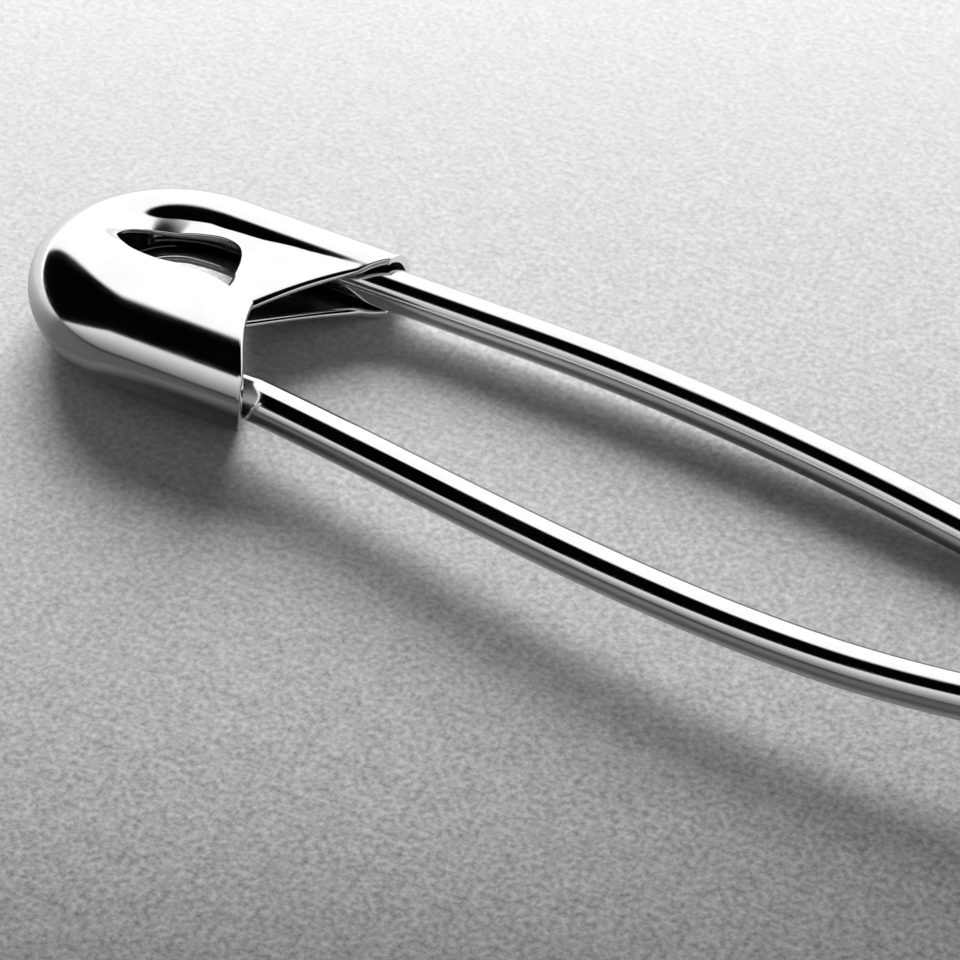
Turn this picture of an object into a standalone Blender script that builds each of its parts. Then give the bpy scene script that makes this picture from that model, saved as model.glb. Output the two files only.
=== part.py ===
"""Safety pin, closed and lying on a table.

One length of round wire is bent into a spine arm, a spring coil and a needle arm.
The other end of the spine is held in a cap folded from one piece of sheet metal,
and the needle's point rests in the same cap.  The wire is divided only where it moves:
at the needle's root, beside the coil, where the arm turns out of the cap.

+X runs from the cap to the coil, +Y from the needle to the spine and +Z up.
The origin is on the table, under the middle of the pin.
"""
import math

import bmesh
import bpy
from mathutils import Matrix, Vector

for old_object in list(bpy.data.objects):
    bpy.data.objects.remove(old_object, do_unlink=True)

MM = 0.001

# Driving sizes of the whole pin
OVERALL_LENGTH = 75.0 * MM
OVERALL_WIDTH = 19.2 * MM
WIRE_DIAMETER = 2.3 * MM
FIT_GAP = 0.3 * MM

# Cap: one sheet, folded along the needle's side and rolled round the spine
SHEET = 0.45 * MM
CAP_LENGTH = 16.0 * MM
CAP_WIDTH = 15.75 * MM
CAP_DEPTH = 6.5 * MM
FOLD_ROUNDING = 3.8 * MM
CROWN_DROP = 0.25 * MM
MOUTH_SCALLOP = 0.5 * MM
ROLL_REACH = 1.6 * MM
WEB_SCALLOP = 0.7 * MM
WEB_SEAM = 0.15 * MM
VALLEY_DEPTH = 1.1 * MM
VALLEY_ROUNDING = 0.35 * MM
FLANK_CROWDING = 0.8
FOOT_CUT = 0.06 * MM
CUTTER_OVERRUN = 2.0 * MM
SLIDE_POWER = 1.3

# Coil: about one and a half turns on an upright axis
COIL_RADIUS = 3.45 * MM
COIL_RISE = 3.95 * MM
COIL_AXIS_Y = -2.2 * MM
COIL_STUB = 2.3 * MM
TURN_GAP_LEAST = 0.4 * MM

# Spine arm
SPINE_SPLAY = math.radians(15.0)
SPINE_BEND_START = 9.5 * MM
HOOK_ANGLE = math.radians(46.0)

# Needle arm
NEEDLE_SPLAY = math.radians(10.0)
ROOT_LENGTH = 2.0 * MM
NECK_LENGTH = 3.0 * MM
BELLY_FROM_COIL = 20.5 * MM
MOUTH_SLOPE_SHARE = 0.145
NEEDLE_LOW = 0.6 * MM
NEEDLE_INSET = 0.15 * MM
POINT_DEPTH = 9.3 * MM
POINT_TAPER = 9.0 * MM
POINT_RADIUS = 0.12 * MM

# The slot and teardrop hole in each face of the cap, walked from the lip's corner,
# round the hole and back under the lip.  Each row is a share of the cap's length from
# its closed end and a share of its width from the fold.
SLOT_OUTLINE_SHARES = (
    (0.866, 0.318), (0.760, 0.362), (0.668, 0.388), (0.560, 0.388), (0.470, 0.374),
    (0.366, 0.384), (0.277, 0.460), (0.262, 0.565), (0.296, 0.652), (0.371, 0.704),
    (0.450, 0.733), (0.531, 0.743), (0.596, 0.723), (0.634, 0.661), (0.656, 0.570),
    (0.664, 0.486), (0.690, 0.446), (0.740, 0.436),
)
# Where each of those rows starts on the cap's rim: a share of the straight fold from the
# mouth to the rounded end, then of the half circle, then of the straight roll to its tip.
RIM_WALK_SHARES = (
    (0, 0.00), (0, 0.34), (0, 0.62), (0, 0.86), (1, 0.04),
    (1, 0.24), (1, 0.47), (1, 0.64), (1, 0.79), (1, 0.92),
    (2, 0.06), (2, 0.15), (2, 0.24), (2, 0.34), (2, 0.46),
    (2, 0.60), (2, 0.78), (2, 1.00),
)
# How far the sheet is pressed down to the middle along the roll's side, by the same rows,
# and the share of the valley's depth by which it starts below the roll's top
PRESSED_SHARES = (
    (0.00, 0.00), (0.00, 0.00), (0.00, 0.00), (0.00, 0.00), (0.00, 0.00),
    (0.00, 0.00), (0.20, 0.00), (0.50, 0.03), (0.76, 0.17), (0.87, 0.52),
    (0.92, 0.85), (0.95, 1.00), (0.97, 0.98), (0.99, 0.86), (1.00, 0.64),
    (1.00, 0.41), (1.00, 0.22), (1.00, 0.08),
)

# Fineness of the surfaces
WIRE_SIDES = 12
LOOP_POINTS = 24
ROWS_PER_STATION = 3
ARC_FACES = 6
FLANK_FACES = 8

# Sizes that follow from the ones above
WIRE_RADIUS = WIRE_DIAMETER / 2
WIRE_SEAT = WIRE_RADIUS + FIT_GAP
ROLL_RADIUS = WIRE_SEAT + SHEET
ROLL_MIDDLE = WIRE_SEAT + SHEET / 2
HALF_DEPTH = CAP_DEPTH / 2 - SHEET / 2
CLOSED_END_X = -OVERALL_LENGTH / 2
MOUTH_X = CLOSED_END_X + CAP_LENGTH
SPINE_Y = OVERALL_WIDTH / 2 - ROLL_RADIUS
FOLD_Y = OVERALL_WIDTH / 2 - CAP_WIDTH
RIM_FOLD_Y = FOLD_Y + SHEET / 2
RIM_ROLL_Y = SPINE_Y + ROLL_MIDDLE
END_RADIUS = (RIM_ROLL_Y - RIM_FOLD_Y) / 2
END_CENTRE_X = CLOSED_END_X + SHEET / 2 + END_RADIUS
END_CENTRE_Y = (RIM_ROLL_Y + RIM_FOLD_Y) / 2
COIL_AXIS_X = OVERALL_LENGTH / 2 - COIL_RADIUS - WIRE_RADIUS
NEEDLE_MOUTH_Y = FOLD_Y + SHEET + WIRE_SEAT + NEEDLE_INSET
BELLY_Y = WIRE_RADIUS - OVERALL_WIDTH / 2
COIL_BASE_Z = WIRE_RADIUS
COIL_TOP_Z = COIL_BASE_Z + COIL_RISE


def blend_share(share):
    """Ease from 0 to 1 with level ends."""
    return share * share * (3 - 2 * share)


def hermite(start, end, start_slope, end_slope, x):
    """Height of the cubic between two (x, y) stations with the slopes given there."""
    span = end[0] - start[0]
    t = (x - start[0]) / span
    keep = 1 - t
    return (start[1] * keep * keep * (1 + 2 * t) + end[1] * t * t * (1 + 2 * keep)
            + span * t * keep * (start_slope * keep - end_slope * t))


def smooth_rows(table, position):
    """Read a table of rows at a fractional row number, on a Catmull-Rom curve."""
    last = len(table) - 1
    row = min(int(position), last - 1)
    t = position - row
    picked = [table[max(0, min(last, row + k))] for k in (-1, 0, 1, 2)]
    result = []
    for a, b, c, d in zip(*picked):
        result.append(0.5 * (2 * b + (c - a) * t + (2 * a - 5 * b + 4 * c - d) * t * t
                             + (3 * b - 3 * c + d - a) * t ** 3))
    return result


def new_material(name, colour, roughness):
    """Bright plated metal."""
    material = bpy.data.materials.new(name)
    material.use_nodes = True
    shader = material.node_tree.nodes["Principled BSDF"]
    shader.inputs["Base Color"].default_value = (*colour, 1.0)
    shader.inputs["Metallic"].default_value = 1.0
    shader.inputs["Roughness"].default_value = roughness
    return material


def finish_object(name, bm, material, origin):
    """Turn a bmesh in world places into an object whose origin is at the given point."""
    bmesh.ops.recalc_face_normals(bm, faces=bm.faces)
    bmesh.ops.transform(bm, matrix=Matrix.Translation(-Vector(origin)), verts=bm.verts)
    mesh = bpy.data.meshes.new(name)
    bm.to_mesh(mesh)
    bm.free()
    mesh.shade_smooth()
    mesh.set_sharp_from_angle(angle=math.radians(40.0))
    mesh.materials.append(material)
    built = bpy.data.objects.new(name, mesh)
    built.location = origin
    bpy.context.collection.objects.link(built)
    return built


def swept_tube(points, radii):
    """Closed tube along the points, with square ends; its rings turn without twist."""
    bm = bmesh.new()
    side = Vector((0.0, 0.0, 1.0))
    rings = []
    last = len(points) - 1
    for index, (point, radius) in enumerate(zip(points, radii)):
        ahead = (points[min(index + 1, last)] - points[max(index - 1, 0)]).normalized()
        side = (side - ahead * side.dot(ahead)).normalized()
        across = ahead.cross(side)
        ring = []
        for step in range(WIRE_SIDES):
            angle = 2 * math.pi * (step + 0.5) / WIRE_SIDES
            ring.append(bm.verts.new(point + radius * (math.cos(angle) * side
                                                       + math.sin(angle) * across)))
        rings.append(ring)
    for near, far in zip(rings, rings[1:]):
        for step in range(WIRE_SIDES):
            after = (step + 1) % WIRE_SIDES
            bm.faces.new((near[step], near[after], far[after], far[step]))
    bm.faces.new(rings[0])
    bm.faces.new(rings[-1])
    return bm


# Cap

def rim_point(part, share):
    """A point of the cap's rim in plan, and the direction square to it, into the cap."""
    if part == 0:
        x = MOUTH_X + (END_CENTRE_X - MOUTH_X) * share
        return Vector((x, RIM_FOLD_Y)), Vector((0.0, 1.0))
    if part == 2:
        tip_x = MOUTH_X + ROLL_REACH
        x = END_CENTRE_X + (tip_x - END_CENTRE_X) * share
        return Vector((x, RIM_ROLL_Y)), Vector((0.0, -1.0))
    angle = math.pi * (1.5 - share)
    outward = Vector((math.cos(angle), math.sin(angle)))
    return Vector((END_CENTRE_X, END_CENTRE_Y)) + END_RADIUS * outward, -outward


def rounded_max(first, second, rounding):
    """The greater of two heights, with the corner between them filled."""
    near = max(0.0, rounding - abs(first - second))
    return max(first, second) + (near * near / (4 * rounding) if near else 0.0)


def rim_walk(position):
    """The rim at a fractional row number, by even steps along it between the rows."""
    straight = MOUTH_X - END_CENTRE_X
    lengths = (straight, math.pi * END_RADIUS, straight + ROLL_REACH)
    starts = (0.0, lengths[0], lengths[0] + lengths[1])
    walked = [(starts[part] + lengths[part] * share,) for part, share in RIM_WALK_SHARES]
    distance = smooth_rows(walked, position)[0]
    distance = max(0.0, min(sum(lengths), distance))
    part = 0 if distance < starts[1] else 1 if distance < starts[2] else 2
    return rim_point(part, (distance - starts[part]) / lengths[part])


def cap_row(position):
    """One row of points of the cap's front face, from the rim to the slot's edge."""
    rim, inward = rim_walk(position)
    along, over = smooth_rows(SLOT_OUTLINE_SHARES, position)
    slot = Vector((CLOSED_END_X + CAP_LENGTH * along, FOLD_Y + CAP_WIDTH * over))
    pressed, valley = smooth_rows(PRESSED_SHARES, position)
    sunk = VALLEY_DEPTH * max(0.0, valley)
    tangent = Vector((-inward.y, inward.x))
    depth = (slot - rim).dot(inward)
    shift = (slot - rim).dot(tangent)
    to_roll = blend_share((rim.y - RIM_FOLD_Y) / (RIM_ROLL_Y - RIM_FOLD_Y))
    rounding = FOLD_ROUNDING + (ROLL_MIDDLE - FOLD_ROUNDING) * to_roll
    height = HALF_DEPTH + (ROLL_MIDDLE - HALF_DEPTH) * to_roll
    lip_height = HALF_DEPTH - CROWN_DROP
    edge_height = lip_height + (SHEET / 2 + WEB_SEAM / 2 - lip_height) * pressed
    power = 2 - 0.8 * to_roll
    last = len(SLOT_OUTLINE_SHARES) - 1
    row = []
    for face in range(ARC_FACES + 1):
        turn = 0.5 * math.pi * face / ARC_FACES
        row.append((rounding * (1 - math.cos(turn)), 0.0, height * math.sin(turn)))
    for face in range(1, FLANK_FACES + 1):
        share = (face / FLANK_FACES) ** (1 + FLANK_CROWDING * to_roll)
        along_flank = (depth - rounding) * share
        roll = height * math.sqrt(max(0.0, 1 - (along_flank / rounding) ** 2))
        flank = height - sunk + (edge_height - height + sunk) * share ** power
        row.append((rounding + along_flank, shift * share,
                    rounded_max(roll, flank, min(VALLEY_ROUNDING, sunk))))
    points = []
    for offset, flank_slide, z in row:
        whole_slide = shift * (offset / depth) ** SLIDE_POWER
        slide = whole_slide + (flank_slide - whole_slide) * to_roll
        place = rim + inward * offset + tangent * slide
        share = offset / depth
        if position < 1:
            place.x -= MOUTH_SCALLOP * (1 - position) * math.sin(math.pi * share)
        if position > last - 1:
            place.x -= WEB_SCALLOP * (position - last + 1) * math.sin(math.pi * share)
        points.append(Vector((place.x, place.y, z)))
    return points


CAP_ROWS = [cap_row(step / ROWS_PER_STATION)
            for step in range((len(SLOT_OUTLINE_SHARES) - 1) * ROWS_PER_STATION + 1)]


def cap_tilt():
    """Angle at which the roll and the dome's underside both rest on the table."""
    low, high = 0.0, math.radians(20.0)
    for _ in range(40):
        tilt = (low + high) / 2
        lowest = min(ROLL_RADIUS - (point.z + SHEET / 2) * math.cos(tilt)
                     + (SPINE_Y - point.y) * math.sin(tilt)
                     for row in CAP_ROWS for point in row[ARC_FACES:])
        if lowest < -FOOT_CUT:
            low = tilt
        else:
            high = tilt
    return (low + high) / 2


CAP_TILT = cap_tilt()


def tilted(point):
    """Turn a point of the level cap about the roll's axis, as the cap lies."""
    y = point[1] - SPINE_Y
    return Vector((point[0],
                   SPINE_Y + y * math.cos(CAP_TILT) + point[2] * math.sin(CAP_TILT),
                   ROLL_RADIUS - y * math.sin(CAP_TILT) + point[2] * math.cos(CAP_TILT)))


def build_cap():
    """Sheet cap: front and back faces meet at the rim and part at the slot."""
    bm = bmesh.new()
    front, back = [], []
    for row in CAP_ROWS:
        front.append([bm.verts.new(point) for point in row])
        mirrored = [bm.verts.new(Vector((p.x, p.y, -p.z))) for p in row[1:]]
        back.append([front[-1][0]] + mirrored)
    for side in (front, back):
        for near, far in zip(side, side[1:]):
            for step in range(len(near) - 1):
                bm.faces.new((near[step], near[step + 1], far[step + 1], far[step]))
    cap = finish_object("cap", bm, new_material("cap_nickel", (0.78, 0.78, 0.79), 0.12),
                        (0.0, SPINE_Y, 0.0))
    cap.location.z = ROLL_RADIUS
    cap.rotation_euler.x = -CAP_TILT
    shell = cap.modifiers.new("sheet", 'SOLIDIFY')
    shell.thickness = SHEET
    shell.offset = 0.0
    shell.use_even_offset = True
    below = bmesh.new()
    bmesh.ops.create_cube(below, size=1.0)
    depth = CUTTER_OVERRUN
    size = (CAP_LENGTH + ROLL_REACH + CUTTER_OVERRUN, CAP_WIDTH + CUTTER_OVERRUN, depth)
    centre = (CLOSED_END_X + CAP_LENGTH / 2, FOLD_Y + CAP_WIDTH / 2, -depth / 2)
    bmesh.ops.transform(below, matrix=Matrix.Translation(centre) @ Matrix.Diagonal((*size, 1)),
                        verts=below.verts)
    cutter = finish_object("table_cutter", below, new_material("cutter", (1, 1, 1), 1.0),
                           (0.0, 0.0, 0.0))
    cutter.hide_render = True
    cutter.display_type = 'WIRE'
    foot = cap.modifiers.new("foot", 'BOOLEAN')
    foot.operation = 'DIFFERENCE'
    foot.solver = 'EXACT'
    foot.object = cutter
    return cap


# Coil

def coil_point(angle, z):
    return Vector((COIL_AXIS_X + COIL_RADIUS * math.cos(angle),
                   COIL_AXIS_Y + COIL_RADIUS * math.sin(angle), z))


COIL_START = math.pi / 2 - SPINE_SPLAY
COIL_END = -2 * math.pi - math.pi / 2 + NEEDLE_SPLAY
SPINE_TANGENT = coil_point(COIL_START, COIL_BASE_Z)
NEEDLE_TANGENT = coil_point(COIL_END, COIL_TOP_Z)

# The needle falls evenly from the coil's top to its place in the cap
NEEDLE_MOUTH = tilted((MOUTH_X, NEEDLE_MOUTH_Y, -NEEDLE_LOW))
NEEDLE_FALL = (COIL_TOP_Z - NEEDLE_MOUTH.z) / (NEEDLE_TANGENT.x - NEEDLE_MOUTH.x)
NEEDLE_WAY = Vector((-math.cos(NEEDLE_SPLAY), -math.sin(NEEDLE_SPLAY),
                     -NEEDLE_FALL * math.cos(NEEDLE_SPLAY))).normalized()
# The spine is straight in the roll and bends from here to the coil's foot
SPINE_BEND_X = MOUTH_X + SPINE_BEND_START
SPINE_WAY = Vector((-math.cos(SPINE_SPLAY), math.sin(SPINE_SPLAY), 0.0))


def coil_line():
    """Centre line of the coil, with a straight stub at each end."""
    turns = (COIL_START - COIL_END) / (2 * math.pi)
    count = math.ceil(turns * LOOP_POINTS)
    points = [SPINE_TANGENT + SPINE_WAY * COIL_STUB, SPINE_TANGENT + SPINE_WAY * COIL_STUB / 2]
    for step in range(count + 1):
        share = step / count
        points.append(coil_point(COIL_START + (COIL_END - COIL_START) * share,
                                 COIL_BASE_Z + COIL_RISE * blend_share(share)))
    points.append(NEEDLE_TANGENT + NEEDLE_WAY * COIL_STUB / 2)
    points.append(NEEDLE_TANGENT + NEEDLE_WAY * COIL_STUB)
    return points


def least_turn_gap(points):
    """Least clear distance between stretches of the coil half a turn or more apart."""
    least = COIL_RADIUS
    for index, point in enumerate(points):
        for other in points[index + LOOP_POINTS // 2:]:
            least = min(least, (point - other).length - WIRE_DIAMETER)
    return least


def build_coil(material):
    points = coil_line()
    gap = least_turn_gap(points)
    print("least gap between the coil's turns, mm: %.3f" % (gap / MM))
    print("gap is over the least allowed: %s" % (gap > TURN_GAP_LEAST))
    bm = swept_tube(points, [WIRE_RADIUS] * len(points))
    return finish_object("coil_spring", bm, material, (COIL_AXIS_X, COIL_AXIS_Y, COIL_BASE_Z))


# Spine arm

def spine_line():
    """Centre line of the spine, from its hooked end in the cap to the coil's stub."""
    hook_radius = END_RADIUS - ROLL_MIDDLE
    points = []
    hook_steps = 10
    for step in range(hook_steps):
        angle = math.pi / 2 + HOOK_ANGLE * (1 - step / hook_steps)
        points.append(tilted((END_CENTRE_X + hook_radius * math.cos(angle),
                              END_CENTRE_Y + hook_radius * math.sin(angle), 0.0)))
    straight_steps = 6
    for step in range(straight_steps):
        x = END_CENTRE_X + (SPINE_BEND_X - END_CENTRE_X) * step / straight_steps
        points.append(Vector((x, SPINE_Y, ROLL_RADIUS)))
    end = SPINE_TANGENT + SPINE_WAY * (COIL_STUB + FIT_GAP)
    bend_steps = 22
    for step in range(bend_steps + 1):
        share = step / bend_steps
        x = SPINE_BEND_X + (end.x - SPINE_BEND_X) * share
        y = hermite((SPINE_BEND_X, SPINE_Y), (end.x, end.y), 0.0, -math.tan(SPINE_SPLAY), x)
        z = ROLL_RADIUS + (end.z - ROLL_RADIUS) * blend_share(share)
        points.append(Vector((x, y, z)))
    return points


def build_spine(material):
    points = spine_line()
    bm = swept_tube(points, [WIRE_RADIUS] * len(points))
    return finish_object("spine_arm", bm, material, (SPINE_BEND_X, SPINE_Y, ROLL_RADIUS))


# Needle: root, neck and arm lie on one line beside the coil, so that each can turn

ROOT_START = COIL_STUB + FIT_GAP
ROOT_END = ROOT_START + ROOT_LENGTH
PIVOT_AT = ROOT_END + FIT_GAP + WIRE_RADIUS
NECK_END = PIVOT_AT + NECK_LENGTH
ARM_START = NECK_END + FIT_GAP
NEEDLE_PIVOT = NEEDLE_TANGENT + NEEDLE_WAY * PIVOT_AT


def on_needle(distance):
    """A point of the needle's straight root, at a distance from the coil."""
    return NEEDLE_TANGENT + NEEDLE_WAY * distance


def build_root(material):
    points = [on_needle(ROOT_START), on_needle(ROOT_END)]
    bm = swept_tube(points, [WIRE_RADIUS] * len(points))
    return finish_object("needle_root", bm, material, NEEDLE_PIVOT)


def build_neck(material):
    """Short stretch of wire whose round end sits at the pivot."""
    points, radii = [], []
    round_steps = 5
    for step in range(round_steps):
        turn = math.radians(80.0) * (1 - step / round_steps)
        points.append(on_needle(PIVOT_AT - WIRE_RADIUS * math.sin(turn)))
        radii.append(WIRE_RADIUS * math.cos(turn))
    for place in (PIVOT_AT, NECK_END):
        points.append(on_needle(place))
        radii.append(WIRE_RADIUS)
    bm = swept_tube(points, radii)
    return finish_object("needle_neck", bm, material, NEEDLE_PIVOT)


def needle_y(x):
    """Plan of the needle arm: out to its belly, then in to the cap."""
    start = on_needle(ARM_START)
    belly = (COIL_AXIS_X - BELLY_FROM_COIL, BELLY_Y)
    if x > belly[0]:
        return hermite(belly, (start.x, start.y), 0.0, math.tan(NEEDLE_SPLAY), x)
    if x > NEEDLE_MOUTH.x:
        return hermite((NEEDLE_MOUTH.x, NEEDLE_MOUTH.y), belly, -MOUTH_SLOPE_SHARE, 0.0, x)
    return NEEDLE_MOUTH.y - MOUTH_SLOPE_SHARE * (x - NEEDLE_MOUTH.x)


def build_needle(material):
    start = on_needle(ARM_START)
    tip_x = MOUTH_X - POINT_DEPTH
    shaft_end = tip_x + POINT_TAPER
    shaft_steps = 30
    point_steps = 10
    places = [start.x + (shaft_end - start.x) * step / shaft_steps
              for step in range(shaft_steps + 1)]
    places += [shaft_end + (tip_x - shaft_end) * (step + 1) / point_steps
               for step in range(point_steps)]
    points, radii = [], []
    for x in places:
        z = start.z - NEEDLE_FALL * (start.x - x)
        points.append(Vector((x, needle_y(x), z)))
        left = min(1.0, (x - tip_x) / POINT_TAPER)
        radii.append(POINT_RADIUS + (WIRE_RADIUS - POINT_RADIUS) * left ** 0.75)
    bm = swept_tube(points, radii)
    return finish_object("needle_arm", bm, material, NEEDLE_PIVOT)


build_cap()
build_spine(new_material("spine_nickel", (0.76, 0.76, 0.77), 0.10))
build_coil(new_material("coil_nickel", (0.76, 0.76, 0.77), 0.10))
build_root(new_material("root_nickel", (0.76, 0.76, 0.77), 0.10))
build_neck(new_material("neck_nickel", (0.76, 0.76, 0.77), 0.10))
build_needle(new_material("needle_nickel", (0.76, 0.76, 0.77), 0.10))
print("needle pivot, mm:", [round(v / MM, 3) for v in NEEDLE_PIVOT])
print("needle direction:", [round(v, 5) for v in NEEDLE_WAY])
print("cap tilt, degrees: %.2f" % math.degrees(CAP_TILT))
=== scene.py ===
"""Closed safety pin on pale paper: fine meshes, bright nickel plate, soft studio light."""
import math

import bmesh
import bpy
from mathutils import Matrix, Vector
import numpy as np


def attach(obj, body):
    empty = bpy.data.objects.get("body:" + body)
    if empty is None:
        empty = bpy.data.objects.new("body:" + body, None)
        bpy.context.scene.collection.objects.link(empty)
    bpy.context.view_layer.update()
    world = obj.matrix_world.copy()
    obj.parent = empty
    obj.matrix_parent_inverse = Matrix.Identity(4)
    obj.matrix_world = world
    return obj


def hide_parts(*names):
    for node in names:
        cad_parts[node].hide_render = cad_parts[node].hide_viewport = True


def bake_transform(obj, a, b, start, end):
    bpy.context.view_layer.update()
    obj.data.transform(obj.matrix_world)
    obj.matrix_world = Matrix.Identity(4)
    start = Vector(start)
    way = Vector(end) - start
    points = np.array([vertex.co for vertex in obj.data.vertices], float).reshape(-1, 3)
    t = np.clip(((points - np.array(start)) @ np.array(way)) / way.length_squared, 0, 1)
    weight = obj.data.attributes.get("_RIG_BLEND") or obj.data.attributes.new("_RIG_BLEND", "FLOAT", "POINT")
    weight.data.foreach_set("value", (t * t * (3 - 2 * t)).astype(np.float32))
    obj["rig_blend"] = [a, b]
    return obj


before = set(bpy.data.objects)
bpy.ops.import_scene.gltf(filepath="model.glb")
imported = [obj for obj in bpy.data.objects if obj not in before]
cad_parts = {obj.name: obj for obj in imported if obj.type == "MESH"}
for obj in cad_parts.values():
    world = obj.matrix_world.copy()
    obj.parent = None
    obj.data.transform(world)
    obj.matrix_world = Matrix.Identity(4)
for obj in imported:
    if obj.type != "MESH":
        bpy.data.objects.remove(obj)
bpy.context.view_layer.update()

MM = 0.001

# Sizes of the pin, as in the CAD source
OVERALL_LENGTH = 75.0 * MM
OVERALL_WIDTH = 19.2 * MM
WIRE_DIAMETER = 2.3 * MM
FIT_GAP = 0.3 * MM
SHEET = 0.45 * MM
CAP_LENGTH = 16.0 * MM
CAP_WIDTH = 15.75 * MM
CAP_DEPTH = 6.5 * MM
FOLD_ROUNDING = 3.8 * MM
CROWN_DROP = 0.25 * MM
MOUTH_SCALLOP = 0.5 * MM
ROLL_REACH = 1.6 * MM
WEB_SCALLOP = 0.7 * MM
WEB_SEAM = 0.15 * MM
FOOT_CUT = 0.06 * MM
MOST_TILT = math.radians(20.0)
SLIDE_POWER = 1.3
FLANK_POWER_AT_FOLD = 2.0
FLANK_POWER_AT_ROLL = 1.2
COIL_RADIUS = 3.45 * MM
COIL_RISE = 3.95 * MM
COIL_AXIS_Y = -2.2 * MM
COIL_STUB = 2.3 * MM
SPINE_SPLAY = math.radians(15.0)
SPINE_BEND_START = 9.5 * MM
HOOK_ANGLE = math.radians(46.0)
NEEDLE_SPLAY = math.radians(10.0)
ROOT_LENGTH = 2.0 * MM
NECK_LENGTH = 3.0 * MM
BELLY_FROM_COIL = 20.5 * MM
MOUTH_SLOPE_SHARE = 0.145
NEEDLE_LOW = 0.6 * MM
NEEDLE_INSET = 0.15 * MM
POINT_DEPTH = 9.3 * MM
POINT_TAPER = 9.0 * MM
POINT_CURVE = 0.75

# Stations of the slot's outline from the mouth round to the web, in shares of the cap's
# length and width, and the places of the rim that face them: on the fold's side (0), on
# the closed end (1) or on the roll's side (2), with the share of that stretch
SLOT_OUTLINE_SHARES = (
    (0.866, 0.318), (0.760, 0.362), (0.668, 0.388), (0.560, 0.388), (0.470, 0.374),
    (0.366, 0.384), (0.277, 0.460), (0.262, 0.565), (0.296, 0.652), (0.371, 0.704),
    (0.450, 0.733), (0.531, 0.743), (0.596, 0.723), (0.634, 0.661), (0.656, 0.570),
    (0.664, 0.486), (0.690, 0.446), (0.740, 0.436),
)
RIM_WALK_SHARES = (
    (0, 0.00), (0, 0.34), (0, 0.62), (0, 0.86), (1, 0.04),
    (1, 0.24), (1, 0.47), (1, 0.64), (1, 0.79), (1, 0.92),
    (2, 0.06), (2, 0.15), (2, 0.24), (2, 0.34), (2, 0.46),
    (2, 0.60), (2, 0.78), (2, 1.00),
)

# Forms that differ from the CAD source, which has a deeper valley with a softer corner, a
# lower web beside it, no edges of the web turned down, square cut edges and a blunter
# point. Of each pair, the first says how far the slot's edge is pressed down to the
# cap's middle, the second how deep the valley is. The web's edge turns down fully
# between its two stations.
VALLEY_DEPTH = 0.42 * MM
VALLEY_ROUNDING = 0.12 * MM
PRESSED_SHARES = (
    (0.00, 0.00), (0.00, 0.00), (0.00, 0.00), (0.00, 0.00), (0.00, 0.00),
    (0.00, 0.00), (0.20, 0.00), (0.50, 0.03), (0.76, 0.17), (0.85, 0.52),
    (0.80, 0.85), (0.75, 0.98), (0.76, 0.95), (0.83, 0.86), (0.93, 0.78),
    (1.00, 0.72), (1.00, 0.60), (1.00, 0.50),
)
TURNED_DROP = 0.2 * MM
TURNED_WIDTH = 0.65 * MM
TURNED_STATIONS = (12.5, 14.5)
TURNED_FULL_SHARE = 0.3
LAST_STEP_AT_ROLL = 2.1 * MM
LAST_STEP_AT_SLOT = 0.8 * MM
EDGE_ROUNDING = 0.12 * MM
TIP_RADIUS = 0.03 * MM

# Fineness of the visual meshes
WIRE_SIDES = 48
RING_STEP = 0.22 * MM
ROWS_PER_STATION = 16
TRIM_STEP = 0.002
ARC_FACES = 16
FLANK_FACES = 60
FLANK_CROWDING = 0.8
EDGE_FACES = 8
TILT_HALVINGS = 40

# Name of the mark on the cap's inner face, read by its material, which paints shade there
INSIDE_LAYER = "inside"

# Sizes that follow
WIRE_RADIUS = WIRE_DIAMETER / 2
WIRE_SEAT = WIRE_RADIUS + FIT_GAP
ROLL_RADIUS = WIRE_SEAT + SHEET
ROLL_MIDDLE = WIRE_SEAT + SHEET / 2
HALF_DEPTH = CAP_DEPTH / 2 - SHEET / 2
CLOSED_END_X = -OVERALL_LENGTH / 2
MOUTH_X = CLOSED_END_X + CAP_LENGTH
SPINE_Y = OVERALL_WIDTH / 2 - ROLL_RADIUS
FOLD_Y = OVERALL_WIDTH / 2 - CAP_WIDTH
RIM_FOLD_Y = FOLD_Y + SHEET / 2
RIM_ROLL_Y = SPINE_Y + ROLL_MIDDLE
END_RADIUS = (RIM_ROLL_Y - RIM_FOLD_Y) / 2
END_CENTRE_X = CLOSED_END_X + SHEET / 2 + END_RADIUS
END_CENTRE_Y = (RIM_ROLL_Y + RIM_FOLD_Y) / 2
COIL_AXIS_X = OVERALL_LENGTH / 2 - COIL_RADIUS - WIRE_RADIUS
NEEDLE_MOUTH_Y = FOLD_Y + SHEET + WIRE_SEAT + NEEDLE_INSET
BELLY_Y = WIRE_RADIUS - OVERALL_WIDTH / 2
COIL_BASE_Z = WIRE_RADIUS
COIL_TOP_Z = COIL_BASE_Z + COIL_RISE

# Camera, fitted to the photograph
CAMERA_TARGET = Vector((-8.797, -3.745, 2.76)) * MM
CAMERA_TURN = math.radians(27.674)
CAMERA_ELEVATION = math.radians(44.001)
CAMERA_DISTANCE = 284.2 * MM
CAMERA_LENS = 210.24
CAMERA_SENSOR = 36.0
UP = Vector((0.0, 0.0, 1.0))


def camera_axes():
    """Right, level-forward and view directions of the photograph's camera."""
    right = Vector((math.cos(CAMERA_TURN), math.sin(CAMERA_TURN), 0.0))
    forward = Vector((-math.sin(CAMERA_TURN), math.cos(CAMERA_TURN), 0.0))
    view = forward * math.cos(CAMERA_ELEVATION) - UP * math.sin(CAMERA_ELEVATION)
    return right, forward, view


# Curves, as in the CAD source

def blend_share(share):
    """Ease from 0 to 1 with level ends."""
    return share * share * (3 - 2 * share)


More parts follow.
